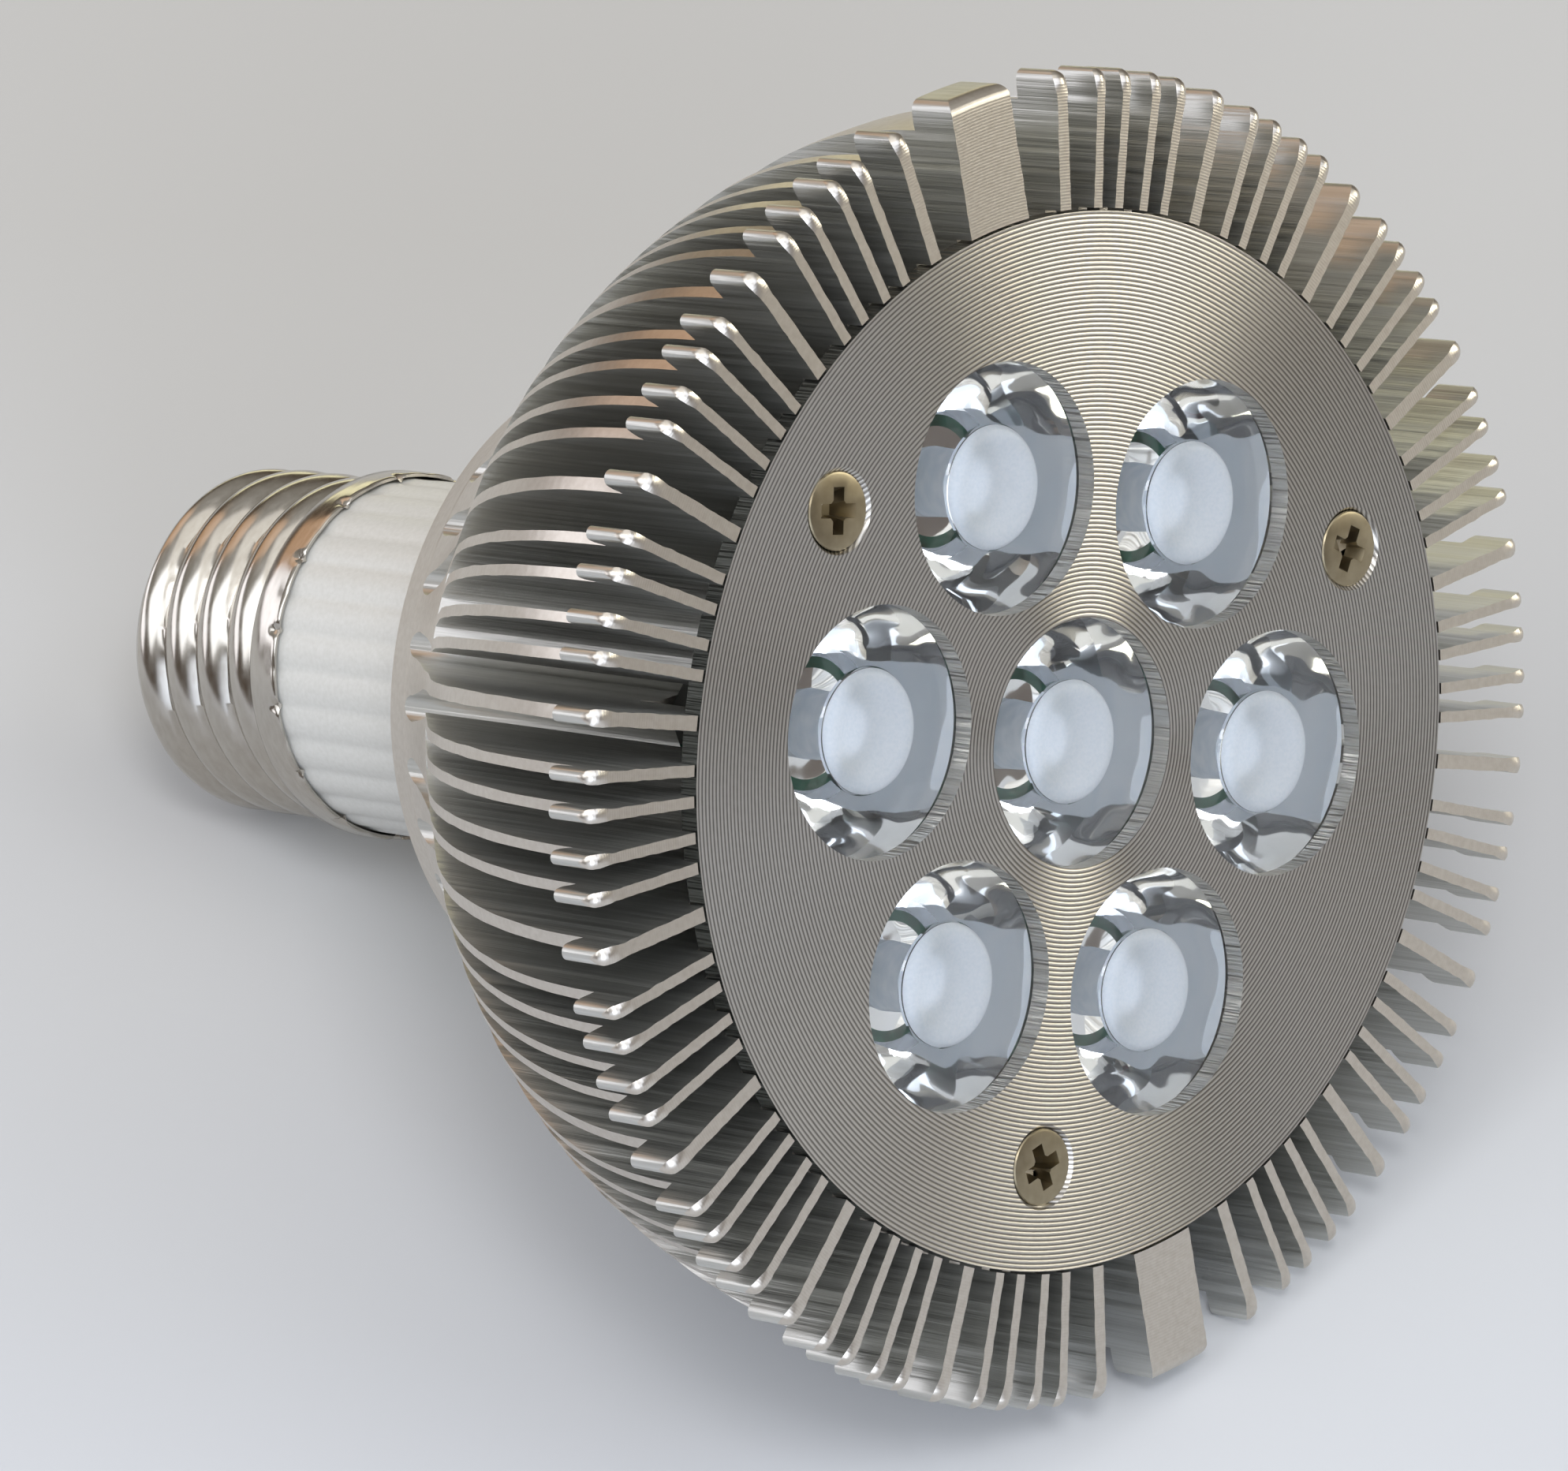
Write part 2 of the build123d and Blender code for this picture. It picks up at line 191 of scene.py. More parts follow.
for name, lamp in studio.items():
    data = bpy.data.lights.new(name, "AREA")
    data.shape = "RECTANGLE"
    data.size, data.size_y = lamp["size"]
    data.energy = lamp["power"]
    data.color = linear(lamp["colour"])[:3]
    right, near, up = lamp["place"]
    spot = faceMiddle + toRight * right + toCamera * near + tableUp * up
    made = bpy.data.objects.new(name, data)
    made.visible_camera = False
    bpy.context.scene.collection.objects.link(made)
    made.matrix_world = lookAt(spot, faceMiddle, toCamera if abs(up) > 0.6 else tableUp)

# Room: the window wall behind the camera is pale and a little blue, the other walls are brown and dim
roomLook = {
    "window": (0.95, 0.30),     # towards the camera and to the right
    "windowEdge": (0.70, 0.95),
    "walls": (     # strength, then colours from the floor up
        (1.0, [(0.30, "#8C867E"), (0.47, "#64594E"), (0.62, "#53473B"), (0.80, "#98948D"), (1.0, "#B8B6B3")]),
        (2.4, [(0.30, "#D0D6E0"), (0.46, "#D6E0F0"), (0.62, "#E6EEFC"), (0.80, "#DDE3EC"), (1.0, "#B0B0B0")])),
}
room = bpy.data.worlds.new("studioRoom")
bpy.context.scene.world = room
room.use_nodes = True
tree = room.node_tree
tree.nodes.clear()
look = addNode(tree, "ShaderNodeTexCoord")
height = addNode(tree, "ShaderNodeVectorMath", {0: look.outputs["Generated"], 1: tableUp}, operation="DOT_PRODUCT")
lift = addNode(tree, "ShaderNodeMapRange", {"Value": height.outputs["Value"], "From Min": -1.0, "From Max": 1.0})
walls = []
for strength, stops in roomLook["walls"]:
    colour = addNode(tree, "ShaderNodeValToRGB", {"Fac": lift.outputs["Result"]}, stops=stops)
    walls.append(addNode(tree, "ShaderNodeBackground", {"Color": colour.outputs["Color"], "Strength": strength}))
toWindow = toCamera * roomLook["window"][0] + toRight * roomLook["window"][1]
aside = addNode(tree, "ShaderNodeVectorMath", {0: look.outputs["Generated"], 1: toWindow}, operation="DOT_PRODUCT")
share = addNode(tree, "ShaderNodeMapRange", {
    "Value": aside.outputs["Value"], "From Min": roomLook["windowEdge"][0], "From Max": roomLook["windowEdge"][1]})
light = addNode(tree, "ShaderNodeMixShader", {
    0: share.outputs["Result"], 1: walls[0].outputs[0], 2: walls[1].outputs[0]})
addNode(tree, "ShaderNodeOutputWorld", {"Surface": light.outputs[0]})
print("light set")


# Drawn aluminium: die lines run along the bulb, so the fins' sides are streaked and satin
drawn = {"colour": "#DEDEDA", "dull": "#C4C4BF", "streak": 0.45, "run": 30.0, "rough": (0.28, 0.48), "depth": 0.08}
drawnAluminium, tree = newMaterial("drawnAluminium")
place = addNode(tree, "ShaderNodeTexCoord")
stretch = addNode(tree, "ShaderNodeMapping", {
    "Vector": place.outputs["Object"],
    "Scale": (1 / (drawn["streak"] * mm), 1 / (drawn["streak"] * mm), 1 / (drawn["run"] * mm))})
streaks = addNode(tree, "ShaderNodeTexNoise", {
    "Vector": stretch.outputs[0], "Scale": 1.0, "Detail": 3.0, "Roughness": 0.6})
shade = addNode(tree, "ShaderNodeValToRGB", {"Fac": streaks.outputs["Fac"]},
                stops=[(0.3, drawn["dull"]), (0.7, drawn["colour"])])
gloss = addNode(tree, "ShaderNodeMapRange", {
    "Value": streaks.outputs["Fac"], "To Min": drawn["rough"][0], "To Max": drawn["rough"][1]})
lines = addNode(tree, "ShaderNodeBump", {
    "Height": streaks.outputs["Fac"], "Strength": 0.8, "Distance": drawn["depth"] * mm})
metal = addNode(tree, "ShaderNodeBsdfPrincipled", {
    "Base Color": shade.outputs["Color"], "Metallic": 1.0, "Roughness": gloss.outputs["Result"],
    "Normal": lines.outputs["Normal"]})
addNode(tree, "ShaderNodeOutputMaterial", {"Surface": metal.outputs[0]})

# Turned aluminium: a lathe tool's fine rings on the fins' ends, brighter than the drawn sides
turned = {"colour": "#D8D2C9", "dull": "#CEC7BD", "ring": 0.22, "depth": 0.01, "grain": 0.5, "rough": 0.33}
turnedAluminium, tree = newMaterial("turnedAluminium")
place = addNode(tree, "ShaderNodeTexCoord")
rings = addNode(tree, "ShaderNodeTexWave", {
    "Vector": place.outputs["Object"], "Scale": ringPitch / (turned["ring"] * mm), "Distortion": 0.4, "Detail": 1.0},
    wave_type="RINGS", rings_direction="Z")
grain = addNode(tree, "ShaderNodeTexNoise", {
    "Vector": place.outputs["Object"], "Scale": 1 / (turned["grain"] * mm), "Detail": 3.0})
shade = addNode(tree, "ShaderNodeValToRGB", {"Fac": grain.outputs["Fac"]},
                stops=[(0.3, turned["dull"]), (0.7, turned["colour"])])
lines = addNode(tree, "ShaderNodeBump", {
    "Height": rings.outputs["Fac"], "Strength": 0.35, "Distance": turned["depth"] * mm})
metal = addNode(tree, "ShaderNodeBsdfPrincipled", {
    "Base Color": shade.outputs["Color"], "Metallic": 1.0, "Roughness": turned["rough"],
    "Normal": lines.outputs["Normal"]})
addNode(tree, "ShaderNodeOutputMaterial", {"Surface": metal.outputs[0]})

# Faced aluminium plate: fine tool rings a third of a millimetre apart, so light fans out across the grooves;
# painted shade darkens the grooves' valleys and the outer edge wall; the windows' walls keep the cutter's chatter
plate = {
    "crest": "#C5C1BA", "valley": "#7C7872", "edge": "#5E605C", "rough": 0.30, "wallRough": 0.42,
    "groove": 0.33, "depth": 0.026, "speck": 0.5, "chatter": 0.3, "chatterDepth": 0.3, "chatterRun": 6.0,
    "shadedEdgeFrom": 37.3, "shadedEdgeTo": 37.4,
}
facedAluminium, tree = newMaterial("facedAluminium")
place = addNode(tree, "ShaderNodeTexCoord")
rings = addNode(tree, "ShaderNodeTexWave", {
    "Vector": place.outputs["Object"], "Scale": ringPitch / (plate["groove"] * mm), "Distortion": 0.0},
    wave_type="RINGS", rings_direction="Z")
speck = addNode(tree, "ShaderNodeTexNoise", {
    "Vector": place.outputs["Object"], "Scale": 1 / (plate["speck"] * mm), "Detail": 4.0})
# speck tone at random, plus painted shade: the rings darken the grooves' valleys
speckAndGrooveShade = addNode(tree, "ShaderNodeMath", {0: speck.outputs["Fac"], 1: 0.3, 2: rings.outputs["Fac"]},
               operation="MULTIPLY_ADD")
shade = addNode(tree, "ShaderNodeValToRGB", {"Fac": speckAndGrooveShade.outputs[0]},
                stops=[(0.25, plate["valley"]), (0.85, plate["crest"])])
grooves = addNode(tree, "ShaderNodeBump", {
    "Height": rings.outputs["Fac"], "Strength": 1.0, "Distance": plate["depth"] * mm})
around = addNode(tree, "ShaderNodeTangent", direction_type="RADIAL", axis="Z")
face = addNode(tree, "ShaderNodeBsdfPrincipled", {
    "Base Color": shade.outputs["Color"], "Metallic": 1.0, "Roughness": plate["rough"], "Anisotropic": 0.8,
    "Anisotropic Rotation": 0.25, "Tangent": around.outputs["Tangent"], "Normal": grooves.outputs["Normal"]})
upright = addNode(tree, "ShaderNodeMapping", {
    "Vector": place.outputs["Object"],
    "Scale": (1 / (plate["chatter"] * mm), 1 / (plate["chatter"] * mm), 1 / (plate["chatterRun"] * mm))})
chatter = addNode(tree, "ShaderNodeTexNoise", {"Vector": upright.outputs[0], "Scale": 1.0, "Detail": 1.0})
flat = addNode(tree, "ShaderNodeVectorMath", {0: place.outputs["Object"], 1: (1, 1, 0)}, operation="MULTIPLY")
reach = addNode(tree, "ShaderNodeVectorMath", {0: flat.outputs[0]}, operation="LENGTH")
# painted shade: past this radius the plate's outer edge wall is painted dark
shadedEdge = addNode(tree, "ShaderNodeMapRange", {
    "Value": reach.outputs["Value"], "From Min": plate["shadedEdgeFrom"] * mm, "From Max": plate["shadedEdgeTo"] * mm})
dull = addNode(tree, "ShaderNodeValToRGB", {"Fac": shadedEdge.outputs["Result"]},
               stops=[(0.4, plate["crest"]), (0.6, plate["edge"])])
serrated = addNode(tree, "ShaderNodeBump", {
    "Height": chatter.outputs["Fac"], "Strength": 1.0, "Distance": plate["chatterDepth"] * mm})
wall = addNode(tree, "ShaderNodeBsdfPrincipled", {
    "Base Color": dull.outputs["Color"], "Metallic": 1.0, "Roughness": plate["wallRough"],
    "Normal": serrated.outputs["Normal"]})
lie = addNode(tree, "ShaderNodeNewGeometry")
axes = addNode(tree, "ShaderNodeSeparateXYZ", {"Vector": lie.outputs["True Normal"]})
level = addNode(tree, "ShaderNodeMath", {0: axes.outputs["Z"], 1: 0.5}, operation="GREATER_THAN")
metal = addNode(tree, "ShaderNodeMixShader", {0: level.outputs[0], 1: wall.outputs[0], 2: face.outputs[0]})
addNode(tree, "ShaderNodeOutputMaterial", {"Surface": metal.outputs[0]})

# Nickel plate on steel: a warm yellow-grey shine with faint handling marks
nickel = {"colour": "#A69B83", "dull": "#978C74", "mark": 1.2, "rough": (0.28, 0.36)}
nickelPlate, tree = newMaterial("nickelPlate")
place = addNode(tree, "ShaderNodeTexCoord")
marks = addNode(tree, "ShaderNodeTexNoise", {
    "Vector": place.outputs["Object"], "Scale": 1 / (nickel["mark"] * mm), "Detail": 2.0})
shade = addNode(tree, "ShaderNodeValToRGB", {"Fac": marks.outputs["Fac"]},
                stops=[(0.3, nickel["dull"]), (0.65, nickel["colour"])])
gloss = addNode(tree, "ShaderNodeMapRange", {
    "Value": marks.outputs["Fac"], "To Min": nickel["rough"][0], "To Max": nickel["rough"][1]})
metal = addNode(tree, "ShaderNodeBsdfPrincipled", {
    "Base Color": shade.outputs["Color"], "Metallic": 1.0, "Roughness": gloss.outputs["Result"]})
addNode(tree, "ShaderNodeOutputMaterial", {"Surface": metal.outputs[0]})

# Nickel-plated cap sheet: cooler than the screws, rolled smooth, with drawing marks round it
capSheet = {"colour": "#CCC8C1", "dull": "#C0BBB3", "mark": 1.1, "rough": (0.12, 0.28)}
capNickel, tree = newMaterial("capNickel")
place = addNode(tree, "ShaderNodeTexCoord")
stretch = addNode(tree, "ShaderNodeMapping", {"Vector": place.outputs["Object"], "Scale": (1.0, 1.0, 3.0)})
marks = addNode(tree, "ShaderNodeTexNoise", {
    "Vector": stretch.outputs[0], "Scale": 1 / (capSheet["mark"] * mm), "Detail": 4.0})
shade = addNode(tree, "ShaderNodeValToRGB", {"Fac": marks.outputs["Fac"]},
                stops=[(0.3, capSheet["dull"]), (0.7, capSheet["colour"])])
gloss = addNode(tree, "ShaderNodeMapRange", {
    "Value": marks.outputs["Fac"], "To Min": capSheet["rough"][0], "To Max": capSheet["rough"][1]})
metal = addNode(tree, "ShaderNodeBsdfPrincipled", {
    "Base Color": shade.outputs["Color"], "Metallic": 1.0, "Roughness": gloss.outputs["Result"]})
addNode(tree, "ShaderNodeOutputMaterial", {"Surface": metal.outputs[0]})

# Clear acrylic: polished, with the mould's faint waves
acrylic = {"colour": "#F7FAFB", "wave": 3.0, "depth": 0.05, "rough": 0.02, "ior": 1.49}
clearAcrylic, tree = newMaterial("clearAcrylic")
place = addNode(tree, "ShaderNodeTexCoord")
wave = addNode(tree, "ShaderNodeTexNoise", {
    "Vector": place.outputs["Object"], "Scale": 1 / (acrylic["wave"] * mm), "Detail": 1.0})
ripple = addNode(tree, "ShaderNodeBump", {
    "Height": wave.outputs["Fac"], "Strength": 0.3, "Distance": acrylic["depth"] * mm})
glass = addNode(tree, "ShaderNodeBsdfPrincipled", {
    "Base Color": linear(acrylic["colour"]), "Roughness": acrylic["rough"], "IOR": acrylic["ior"],
    "Transmission Weight": 1.0, "Normal": ripple.outputs["Normal"]})
addNode(tree, "ShaderNodeOutputMaterial", {"Surface": glass.outputs[0]})

# Frosted acrylic: the etched middle scatters light, so it looks milky and a little blue
frosted = {
    "colour": "#F6FAFE", "shadow": "#E9F0F6", "grit": 0.25, "depth": 0.02, "rough": 0.5, "ior": 1.49, "through": 0.72,
}
frostedAcrylic, tree = newMaterial("frostedAcrylic")
place = addNode(tree, "ShaderNodeTexCoord")
grit = addNode(tree, "ShaderNodeTexNoise", {
    "Vector": place.outputs["Object"], "Scale": 1 / (frosted["grit"] * mm), "Detail": 2.0})
shade = addNode(tree, "ShaderNodeValToRGB", {"Fac": grit.outputs["Fac"]},
                stops=[(0.3, frosted["shadow"]), (0.7, frosted["colour"])])
etched = addNode(tree, "ShaderNodeBump", {
    "Height": grit.outputs["Fac"], "Strength": 0.2, "Distance": frosted["depth"] * mm})
milk = addNode(tree, "ShaderNodeBsdfPrincipled", {
    "Base Color": shade.outputs["Color"], "Roughness": frosted["rough"], "IOR": frosted["ior"],
    "Transmission Weight": frosted["through"], "Normal": etched.outputs["Normal"]})
addNode(tree, "ShaderNodeOutputMaterial", {"Surface": milk.outputs[0]})

# Milky acrylic: the pocket over the LED is blasted white inside and glows with the light that the lens gathers
milky = {"colour": "#F6FAFF", "shadow": "#E6EEF6", "cloud": 1.5, "rough": 0.3}
milkyAcrylic, tree = newMaterial("milkyAcrylic")
place = addNode(tree, "ShaderNodeTexCoord")
cloud = addNode(tree, "ShaderNodeTexNoise", {
    "Vector": place.outputs["Object"], "Scale": 1 / (milky["cloud"] * mm), "Detail": 2.0})
shade = addNode(tree, "ShaderNodeValToRGB", {"Fac": cloud.outputs["Fac"]},
                stops=[(0.3, milky["shadow"]), (0.7, milky["colour"])])
milk = addNode(tree, "ShaderNodeBsdfDiffuse", {"Color": shade.outputs["Color"], "Roughness": milky["rough"]})
addNode(tree, "ShaderNodeOutputMaterial", {"Surface": milk.outputs[0]})

# Acrylic's outer wall: light inside turns back off it, so from the front it is a mirror with a faint moulding haze
mirror = {"colour": "#FAFAF9", "haze": "#FDFDFF", "wave": 4.2, "depth": 0.40, "rough": 0.04, "hazeShare": 0.12}
mirrorWall, tree = newMaterial("reflectingAcrylic")
place = addNode(tree, "ShaderNodeTexCoord")
wave = addNode(tree, "ShaderNodeTexNoise", {
    "Vector": place.outputs["Object"], "Scale": 1 / (mirror["wave"] * mm), "Detail": 0.0})
ripple = addNode(tree, "ShaderNodeBump", {
    "Height": wave.outputs["Fac"], "Strength": 0.6, "Distance": mirror["depth"] * mm})
bright = addNode(tree, "ShaderNodeBsdfPrincipled", {
    "Base Color": linear(mirror["colour"]), "Metallic": 1.0, "Roughness": mirror["rough"],
    "Normal": ripple.outputs["Normal"]})
haze = addNode(tree, "ShaderNodeBsdfDiffuse", {"Color": linear(mirror["haze"])})
both = addNode(tree, "ShaderNodeMixShader", {0: mirror["hazeShare"], 1: bright.outputs[0], 2: haze.outputs[0]})
addNode(tree, "ShaderNodeOutputMaterial", {"Surface": both.outputs[0]})

# Moulded ABS: plain white with a soft shine and a fine spark-eroded grain
moulding = {"colour": "#D2D2CE", "shadow": "#CACAC5", "grain": 0.35, "depth": 0.02, "rough": 0.42, "ior": 1.54}
mouldedAbs, tree = newMaterial("mouldedAbs")
place = addNode(tree, "ShaderNodeTexCoord")
grain = addNode(tree, "ShaderNodeTexNoise", {
    "Vector": place.outputs["Object"], "Scale": 1 / (moulding["grain"] * mm), "Detail": 3.0})
shade = addNode(tree, "ShaderNodeValToRGB", {"Fac": grain.outputs["Fac"]},
                stops=[(0.3, moulding["shadow"]), (0.7, moulding["colour"])])
texture = addNode(tree, "ShaderNodeBump", {
    "Height": grain.outputs["Fac"], "Strength": 0.15, "Distance": moulding["depth"] * mm})
plastic = addNode(tree, "ShaderNodeBsdfPrincipled", {
    "Base Color": shade.outputs["Color"], "Roughness": moulding["rough"], "IOR": moulding["ior"],
    "Normal": texture.outputs["Normal"]})
addNode(tree, "ShaderNodeOutputMaterial", {"Surface": plastic.outputs[0]})
print("materials of the visible pieces made")


# What the pieces inside are made of: colour, darker colour, grain in millimetres, roughness, IOR
innerFinishes = {
    "solderMask": ("#1F5C48", "#143F31", 2.2, 0.32, 1.55),     # green epoxy over copper, glossy, with faint tracks
    "phosphorSilicone": ("#E9D27A", "#D8B64A", 0.3, 0.5, 1.45),     # yellow phosphor in silicone on white ceramic
    "polyesterTape": ("#D2AE3A", "#B48F22", 3.0, 0.35, 1.57),     # yellow tape wound round coils
    "mouldedEpoxy": ("#26262A", "#161618", 0.4, 0.55, 1.55),     # black chip packages
    "blackGlass": ("#1C1A19", "#0E0D0D", 1.5, 0.12, 1.52),     # fused glass between the cap's contacts
    "redWire": ("#A53028", "#7E1F19", 0.8, 0.45, 1.50),     # silicone-covered wire
    "blackWire": ("#222222", "#141414", 0.8, 0.45, 1.50),
}
innerMaterials = {}
for name, (colour, dark, grainSize, rough, ior) in innerFinishes.items():
    material, tree = newMaterial(name)
    place = addNode(tree, "ShaderNodeTexCoord")
    grain = addNode(tree, "ShaderNodeTexNoise", {
        "Vector": place.outputs["Object"], "Scale": 1 / (grainSize * mm), "Detail": 3.0})
    shade = addNode(tree, "ShaderNodeValToRGB", {"Fac": grain.outputs["Fac"]}, stops=[(0.35, dark), (0.65, colour)])
    lift = addNode(tree, "ShaderNodeBump", {"Height": grain.outputs["Fac"], "Strength": 0.2, "Distance": 0.03 * mm})
    coat = addNode(tree, "ShaderNodeBsdfPrincipled", {
        "Base Color": shade.outputs["Color"], "Roughness": rough, "IOR": ior, "Normal": lift.outputs["Normal"]})
    addNode(tree, "ShaderNodeOutputMaterial", {"Surface": coat.outputs[0]})
    innerMaterials[name] = material

# Metal-core board: green mask under the lenses and a bare, dull aluminium margin
core = {
    "mask": "#1F5C48", "dark": "#143F31", "grain": 2.2, "rough": 0.32, "ior": 1.55,
    "bare": "#8E8F8C", "bareRough": (0.35, 0.55), "margin": 26.3,
}
metalCore, tree = newMaterial("metalCore")
place = addNode(tree, "ShaderNodeTexCoord")
grain = addNode(tree, "ShaderNodeTexNoise", {
    "Vector": place.outputs["Object"], "Scale": 1 / (core["grain"] * mm), "Detail": 3.0})
shade = addNode(tree, "ShaderNodeValToRGB", {"Fac": grain.outputs["Fac"]},
                stops=[(0.35, core["dark"]), (0.65, core["mask"])])
mask = addNode(tree, "ShaderNodeBsdfPrincipled", {
    "Base Color": shade.outputs["Color"], "Roughness": core["rough"], "IOR": core["ior"]})
gloss = addNode(tree, "ShaderNodeMapRange", {
    "Value": grain.outputs["Fac"], "To Min": core["bareRough"][0], "To Max": core["bareRough"][1]})
bare = addNode(tree, "ShaderNodeBsdfPrincipled", {
    "Base Color": linear(core["bare"]), "Metallic": 1.0, "Roughness": gloss.outputs["Result"]})
flat = addNode(tree, "ShaderNodeVectorMath", {0: place.outputs["Object"], 1: (1, 1, 0)}, operation="MULTIPLY")
reach = addNode(tree, "ShaderNodeVectorMath", {0: flat.outputs[0]}, operation="LENGTH")
outside = addNode(tree, "ShaderNodeMath", {0: reach.outputs["Value"], 1: core["margin"] * mm},
                  operation="GREATER_THAN")
both = addNode(tree, "ShaderNodeMixShader", {0: outside.outputs[0], 1: mask.outputs[0], 2: bare.outputs[0]})
addNode(tree, "ShaderNodeOutputMaterial", {"Surface": both.outputs[0]})

finishOfNode = {
    "front_plate": facedAluminium,
    "housing_screws": nickelPlate,
    "led_board": metalCore,
    "driver_board": innerMaterials["solderMask"],
    "cap_insulator": innerMaterials["blackGlass"],
    "cap_contact": capNickel,
    "transformer": innerMaterials["polyesterTape"],
    "film_capacitor": innerMaterials["polyesterTape"],
    "fuse": innerMaterials["polyesterTape"],
    "rectifier": innerMaterials["mouldedEpoxy"],
    "driver_chip": innerMaterials["mouldedEpoxy"],
    "filter_capacitor": innerMaterials["mouldedEpoxy"],
    "led_lead_plus": innerMaterials["redWire"],
    "live_lead": innerMaterials["redWire"],
    "led_lead_minus": innerMaterials["blackWire"],
    "neutral_lead": innerMaterials["blackWire"],
}
for number in range(1, 8):
    finishOfNode[f"led_{number}"] = innerMaterials["phosphorSilicone"]
for node, material in finishOfNode.items():
    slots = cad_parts[node].data.materials
    slots.clear()
    slots.append(material)
print("finishes given to", len(finishOfNode), "CAD pieces")


def turnedShell(name, outline, segments, closed=False):
    # a ring is drawn along the outline by extruding and scaling, as on a lathe
    deselectAll()
    radius, height = outline[0]
    bpy.ops.mesh.primitive_circle_add(vertices=segments, radius=radius * mm, location=(0, 0, height * mm))
    piece = bpy.context.active_object
    piece.name = name
    bpy.ops.object.transform_apply(location=True, rotation=True, scale=True)
    bpy.ops.object.mode_set(mode="EDIT")
    bpy.ops.mesh.select_all(action="SELECT")
    for nextRadius, nextHeight in outline[1:] + (outline[:1] if closed else []):
        bpy.ops.mesh.extrude_region_move(TRANSFORM_OT_translate={"value": (0, 0, (nextHeight - height) * mm)})
        scale = nextRadius / radius
        bpy.ops.transform.resize(value=(scale, scale, 1), center_override=(0, 0, nextHeight * mm))
        radius, height = nextRadius, nextHeight
    bpy.ops.mesh.select_all(action="SELECT")
    if closed:
        bpy.ops.mesh.remove_doubles(threshold=0.002 * mm)
    else:
        bpy.ops.mesh.fill_holes(sides=0)
    bpy.ops.mesh.select_all(action="SELECT")
    bpy.ops.mesh.normals_make_consistent(inside=False)
    bpy.ops.object.mode_set(mode="OBJECT")
    return piece


def finishPiece(piece, name, nodes, materials, angle=30):
    piece.name = name
    piece.data.name = name
    if materials:
        piece.data.materials.clear()
        for material in materials:
            piece.data.materials.append(material)
    deselectAll()
    piece.select_set(True)
    bpy.context.view_layer.objects.active = piece
    bpy.ops.object.shade_smooth_by_angle(angle=math.radians(angle))
    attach(piece, "root")
    if nodes:
        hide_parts(*nodes)
    print(name, "made,", sum(len(p.vertices) - 2 for p in piece.data.polygons), "triangles")


def joinAll(pieces):
    deselectAll()
    for piece in pieces:
        piece.select_set(True)
    bpy.context.view_layer.objects.active = pieces[0]
    bpy.ops.object.join()
    return bpy.context.active_object


def turnedCopy(piece, degrees):
    copy = piece.copy()
    copy.data = piece.data.copy()
    copy.data.transform(Matrix.Rotation(math.radians(degrees), 4, "Z"))
    bpy.context.scene.collection.objects.link(copy)
    return copy


def pick(piece, wanted):
    # goes into edit mode with only the wanted corners selected
    deselectAll()
    piece.select_set(True)
    bpy.context.view_layer.objects.active = piece
    bpy.ops.object.mode_set(mode="EDIT")
    bpy.ops.mesh.select_mode(type="VERT")
    bpy.ops.mesh.select_all(action="DESELECT")
    bpy.ops.object.mode_set(mode="OBJECT")
    for vertex in piece.data.vertices:
        vertex.select = wanted(vertex.co)
    bpy.ops.object.mode_set(mode="EDIT")


def applyModifiers(piece):
    deselectAll()
    piece.select_set(True)
    bpy.context.view_layer.objects.active = piece
    for modifier in list(piece.modifiers):
        bpy.ops.object.modifier_apply(modifier=modifier.name)


def between(points, x):
    for (x0, y0), (x1, y1) in zip(points, points[1:]):
        if x <= x1:
            return y0 + (y1 - y0) * max(0.0, (x - x0) / (x1 - x0))
    return points[-1][1]


# Heat sink: fins cut to one turned outline, on a bored hub (millimetres; radii from the axis, with half widths there)
sink = {
    "face": 97.0, "rear": 50.7, "rim": 47.5, "nose": 1.0, "land": 3.9, "step": 2.1,
    "curve": 38.0, "lean": 41.0, "flare": 39.0, "flareStart": 31.0, "hub": 25.4, "rearChamfer": 0.15,
    "ledge": 37.7, "ledgeDepth": 1.5, "pocket": 30.44, "floor": 83.5, "bore": 13.65, "boreEnd": 77.5,
    "sectors": 18, "blockSectors": (5, 14), "thinAngles": (-5.1, -1.9, 1.9, 5.1), "channel": 0.95,
    "ripple": 0.06, "ripplePitch": 0.75, "gap": 0.24, "bead": 0.20, "beadStart": 45.9, "beadRun": 0.8,
    "footSteps": (27.2, 28.0, 28.8, 29.6, 30.2), "gridStart": 30.7, "rippleStart": 31.2, "rippleEnd": 46.0,
    "footAngle": 5, "footDepth": 0.9, "stemEnd": 31.5, "stemHalf": 3.2, "blockHalf": 2.9, "blockCorner": 0.8,
    "thickHalf": 0.6, "thickWidths": ((28.5, 0.66), (38.0, 0.53), (45.2, 0.5), (46.3, 0.6)),
    "thinHalf": 0.5, "thinWidths": ((30.5, 0.44), (38.0, 0.4), (45.4, 0.38), (46.5, 0.5)),
}
leanTurn = math.radians(sink["lean"])
curveTop = (sink["rim"] - sink["step"], sink["face"] - sink["land"])
coneTop = (curveTop[0] - sink["curve"] * (1 - math.cos(leanTurn)), curveTop[1] - sink["curve"] * math.sin(leanTurn))
flareTop = coneTop[1] - (coneTop[0] - sink["flareStart"]) / math.tan(leanTurn)
rearSlope = math.asin(math.sin(leanTurn) - (flareTop - sink["rear"]) / sink["flare"])
rearEdge = sink["flareStart"] - sink["flare"] * (math.cos(rearSlope) - math.cos(leanTurn))


def sinkTop(r):
    if r < sink["pocket"]:
        return sink["floor"]
    if r < sink["ledge"]:
        return sink["face"] - sink["ledgeDepth"]
    past = max(0.0, r - sink["rim"] + sink["nose"])
    return sink["face"] - sink["nose"] + math.sqrt(sink["nose"] ** 2 - past ** 2)


